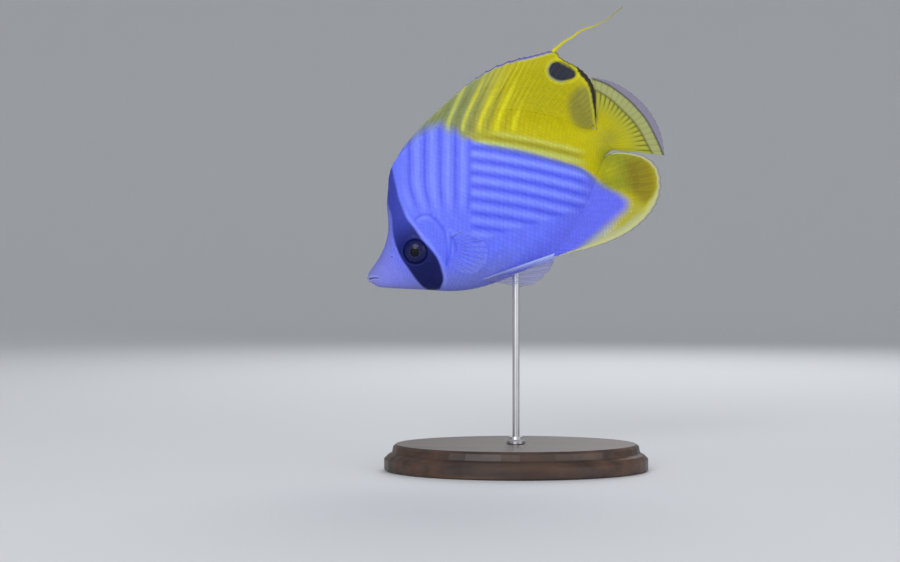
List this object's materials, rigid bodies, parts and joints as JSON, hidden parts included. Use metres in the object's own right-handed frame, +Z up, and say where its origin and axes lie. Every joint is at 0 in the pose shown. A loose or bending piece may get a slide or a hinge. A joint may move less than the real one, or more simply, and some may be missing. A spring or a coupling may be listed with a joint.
{
  "type": "threadfin butterflyfish model on display stand",
  "caption": "Life-size still model of a deep, flat-sided reef butterflyfish with a trailing dorsal thread, held nose down by one rod on an oval base.",
  "frame": {"origin": "centre of the bounding box, on the underside of the stand's base", "axes": "+Z up, -X the way the fish faces, -Y its left side, which faces the camera"},
  "size_m": [0.1358, 0.078, 0.2111],
  "materials": {
    "skin": "painted cast body, periwinkle blue with darker fine lines, a black eye band and a yellow rear",
    "yellow_skin": "painted cast tail stalk, yellow",
    "eye": "polished dark eye",
    "yellow_fin": "thin cast fin, yellow, with a clear or pale margin",
    "clear_fin": "thin cast fin, nearly clear lilac",
    "stand_wood": "dark stained, satin varnish",
    "stand_steel": "brushed"
  },
  "bodies": {
    "root": {"head": "skin", "torso": "skin", "tail_stalk": "yellow_skin", "gill_cover_left": "skin", "gill_cover_right": "skin", "eye_left": "eye", "eye_right": "eye", "dorsal_fin_spiny": "yellow_fin", "dorsal_fin_soft": "yellow_fin", "dorsal_thread": "yellow_fin", "anal_fin": "yellow_fin", "tail_fin": "yellow_fin", "pectoral_fin_left": "clear_fin", "pectoral_fin_right": "clear_fin", "pelvic_fin_left": "clear_fin", "pelvic_fin_right": "clear_fin", "stand_base": "stand_wood", "stand_collar": "stand_steel", "stand_rod": "stand_steel"}
  },
  "joints": []
}
